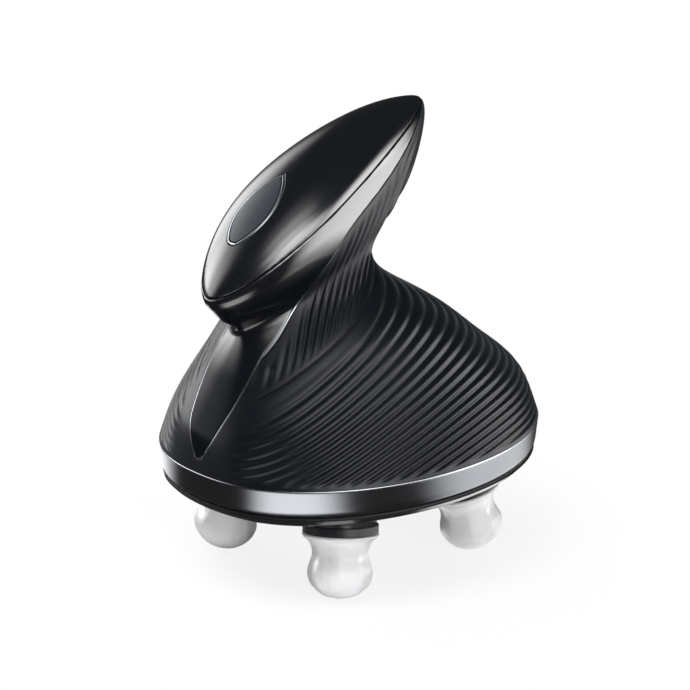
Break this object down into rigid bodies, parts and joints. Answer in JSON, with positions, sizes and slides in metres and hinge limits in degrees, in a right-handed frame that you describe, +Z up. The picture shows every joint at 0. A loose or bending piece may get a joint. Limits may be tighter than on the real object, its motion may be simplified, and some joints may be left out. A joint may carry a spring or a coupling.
{
  "type": "electric scalp massager",
  "caption": "Hand-held electric scalp massager: domed ribbed grip, tilted glossy handle with push button, and soft kneading heads that turn under the base.",
  "frame": {"origin": "on the floor under the middle of the base oval; the four heads' tips stand on z = 0", "axes": "+Z up; -Y is the front, where the button's end of the handle and the tapered panel are; +X is on the right of someone who looks along +Y at that front"},
  "size_m": [0.0902, 0.1076, 0.1243],
  "materials": {
    "grip": "soft-touch, ribbed, satin",
    "gloss_black": "high gloss",
    "shell": "moulded",
    "light_trim": "satin",
    "gunmetal": "satin gunmetal",
    "seal": "matt",
    "underside": "gloss",
    "acetal": "moulded",
    "bronze": "sintered",
    "steel": "ground",
    "bracket_steel": "plated",
    "motor_can": "plated can",
    "battery_wrap": "shrink sleeve",
    "board": "solder mask",
    "switch": "moulded",
    "contact": "gold plated",
    "button": "satin",
    "gear": "moulded acetal",
    "core": "moulded, satin black",
    "silicone": "translucent white silicone"
  },
  "bodies": {
    "housing": {"grip_skin": "grip", "front_spine": "gloss_black", "top_cover": "gloss_black", "body_shell": "shell", "button_bezel": "light_trim", "base_ring": "gunmetal", "base_gasket": "seal", "under_cover": "underside", "gear_plate": "acetal", "spindle_bushes": "bronze", "shaft_seals": "seal", "case_screws": "steel", "sun_axle": "steel", "motor_bracket": "bracket_steel", "bracket_screws": "steel", "motor": "motor_can", "battery": "battery_wrap", "battery_cradle": "acetal", "control_board": "board", "tact_switch": "switch", "charging_contacts": "contact"},
    "button": {"power_button": "button"},
    "sun": {"sun_gear": "gear"},
    "idler": {"idler_gear": "gear", "idler_pinion": "gear", "idler_shaft": "steel"},
    "rotor": {"motor_shaft": "steel", "motor_pinion": "bronze"},
    "spindle_1": {"satellite_gear_1": "gear", "head_spindle_1": "steel", "head_core_1": "core", "massage_head_1": "silicone"},
    "spindle_2": {"satellite_gear_2": "gear", "head_spindle_2": "steel", "head_core_2": "core", "massage_head_2": "silicone"},
    "spindle_3": {"satellite_gear_3": "gear", "head_spindle_3": "steel", "head_core_3": "core", "massage_head_3": "silicone"},
    "spindle_4": {"satellite_gear_4": "gear", "head_spindle_4": "steel", "head_core_4": "core", "massage_head_4": "silicone"}
  },
  "joints": [
    {"name": "button_press", "type": "slide", "parent": "housing", "child": "button", "axis": [0, 0.6574, -0.7536], "range_m": [0, 0.0005], "stiffness_N_per_m": 3000, "springref_m": -0.0001},
    {"name": "sun_spin", "type": "hinge", "parent": "housing", "child": "sun", "pos_m": [0, 0, 0.03], "axis": [0, 0, 1], "continuous": true},
    {"name": "idler_spin", "type": "hinge", "parent": "housing", "child": "idler", "pos_m": [0, -0.0216, 0.04], "axis": [0, 0, 1], "continuous": true},
    {"name": "motor_spin", "type": "hinge", "parent": "housing", "child": "rotor", "pos_m": [0, -0.0066, 0.042], "axis": [0, 0, 1], "continuous": true},
    {"name": "head_1_spin", "type": "hinge", "parent": "housing", "child": "spindle_1", "pos_m": [0.02061, 0.0218, 0.03], "axis": [0, 0, 1], "continuous": true},
    {"name": "head_2_spin", "type": "hinge", "parent": "housing", "child": "spindle_2", "pos_m": [-0.02061, 0.0218, 0.03], "axis": [0, 0, 1], "continuous": true},
    {"name": "head_3_spin", "type": "hinge", "parent": "housing", "child": "spindle_3", "pos_m": [-0.02061, -0.0218, 0.03], "axis": [0, 0, 1], "continuous": true},
    {"name": "head_4_spin", "type": "hinge", "parent": "housing", "child": "spindle_4", "pos_m": [0.02061, -0.0218, 0.03], "axis": [0, 0, 1], "continuous": true}
  ],
  "couplings": [
    {"joint": "idler_spin", "follows": "sun_spin", "ratio": -5},
    {"joint": "motor_spin", "follows": "sun_spin", "ratio": 25},
    {"joint": "head_1_spin", "follows": "sun_spin", "ratio": -1.5},
    {"joint": "head_2_spin", "follows": "sun_spin", "ratio": -1.5},
    {"joint": "head_3_spin", "follows": "sun_spin", "ratio": -1.5},
    {"joint": "head_4_spin", "follows": "sun_spin", "ratio": -1.5}
  ]
}
